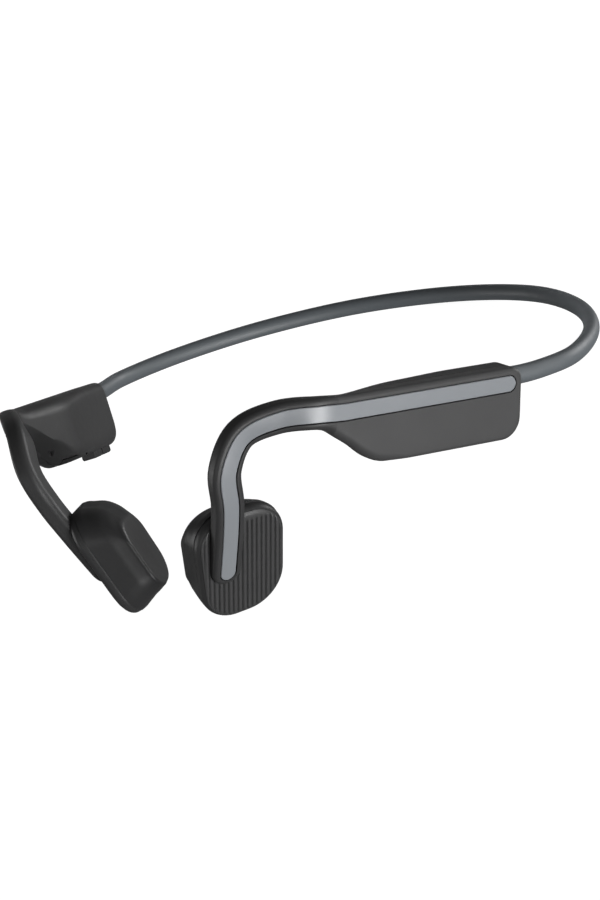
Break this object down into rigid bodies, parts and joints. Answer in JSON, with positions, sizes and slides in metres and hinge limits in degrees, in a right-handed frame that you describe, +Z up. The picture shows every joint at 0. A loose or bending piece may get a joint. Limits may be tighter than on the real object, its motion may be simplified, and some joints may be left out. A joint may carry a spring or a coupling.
{
  "type": "bone conduction headphones",
  "caption": "Wireless bone conduction headphones: a sprung silicone neckband, control pods with ear hooks and soft transducer pads, side buttons and a covered charging port.",
  "frame": {"origin": "centre of the footprint, on the table, with the headphones lying on both transducers and on the back of the neckband", "axes": "+X to the wearer's left, +Y to the back of the neckband, +Z up; the row's X = 0 plane is the middle plane between the two sides"},
  "size_m": [0.1238, 0.1374, 0.0442],
  "materials": {
    "outer_shell_plastic": "fine matte texture",
    "dark_plastic": "satin soft-touch paint",
    "ribbed_plastic": "fine matte texture",
    "pad_silicone": "soft silicone",
    "button_silicone": "soft silicone",
    "strip_paint": "satin slate paint",
    "band_silicone": "soft silicone",
    "cable_jacket": "smooth jacket",
    "titanium": "drawn wire",
    "steel": "pressed sheet",
    "magnet": "nickel plated",
    "copper": "enamelled copper winding",
    "circuit_board": "solder mask",
    "foil": "foil and tinned sheet",
    "chip": "moulded epoxy",
    "lens": "milky light guide"
  },
  "bodies": {
    "band": {"neckband_sleeve": "band_silicone", "neckband_core": "titanium", "neckband_cable": "cable_jacket"},
    "left_side": {"left_pod_outer_shell": "outer_shell_plastic", "left_pod_inner_shell": "dark_plastic", "left_band_anchor": "steel", "left_strip": "strip_paint", "left_ear_hook": "dark_plastic", "left_hook_core": "titanium", "left_hook_cable": "cable_jacket", "left_transducer_shell": "dark_plastic", "left_contact_pad": "pad_silicone", "left_driver_yoke": "steel", "left_driver_magnet": "magnet", "left_voice_coil": "copper", "left_spring_plate": "steel", "battery_cell": "foil", "battery_board": "circuit_board", "multifunction_switch": "steel"},
    "multifunction_button": {"multifunction_button": "ribbed_plastic"},
    "right_side": {"right_pod_outer_shell": "outer_shell_plastic", "right_pod_inner_shell": "dark_plastic", "right_band_anchor": "steel", "right_strip": "strip_paint", "right_ear_hook": "dark_plastic", "right_hook_core": "titanium", "right_hook_cable": "cable_jacket", "right_transducer_shell": "dark_plastic", "right_contact_pad": "pad_silicone", "right_driver_yoke": "steel", "right_driver_magnet": "magnet", "right_voice_coil": "copper", "right_spring_plate": "steel", "right_ribbed_cover": "ribbed_plastic", "main_board": "circuit_board", "bluetooth_module": "foil", "audio_amplifier": "chip", "usb_c_receptacle": "steel", "volume_down_switch": "steel", "volume_up_switch": "steel", "microphone": "foil", "status_light": "lens"},
    "volume_down_button": {"volume_down_button": "button_silicone"},
    "volume_up_button": {"volume_up_button": "button_silicone"},
    "port_cover": {"port_cover": "button_silicone"}
  },
  "joints": [
    {"name": "left_flex", "type": "hinge", "parent": "band", "child": "left_side", "pos_m": [0.051, 0.0373, 0.00858], "axis": [0, 0.2656, 0.9641], "range_deg": [-2, 30], "stiffness_Nm_per_rad": 0.25, "deforming": ["neckband_sleeve", "neckband_core", "neckband_cable"]},
    {"name": "right_flex", "type": "hinge", "parent": "band", "child": "right_side", "pos_m": [-0.051, 0.0373, 0.00858], "axis": [0, -0.2656, -0.9641], "range_deg": [-2, 30], "stiffness_Nm_per_rad": 0.25, "deforming": ["neckband_sleeve", "neckband_core", "neckband_cable"]},
    {"name": "multifunction_press", "type": "slide", "parent": "left_side", "child": "multifunction_button", "axis": [-0.8225, 0.5158, 0.2397], "range_m": [0, 0.0004], "stiffness_N_per_m": 2000},
    {"name": "volume_down_press", "type": "slide", "parent": "right_side", "child": "volume_down_button", "axis": [-0.182, 0.3302, 0.9262], "range_m": [0, 0.0004], "stiffness_N_per_m": 2000},
    {"name": "volume_up_press", "type": "slide", "parent": "right_side", "child": "volume_up_button", "axis": [-0.182, 0.3302, 0.9262], "range_m": [0, 0.0004], "stiffness_N_per_m": 2000},
    {"name": "port_cover_hinge", "type": "hinge", "parent": "right_side", "child": "port_cover", "pos_m": [-0.04337, -0.03008, 0.01849], "axis": [0.9086, 0.4165, 0.03], "range_deg": [0, 100]}
  ]
}
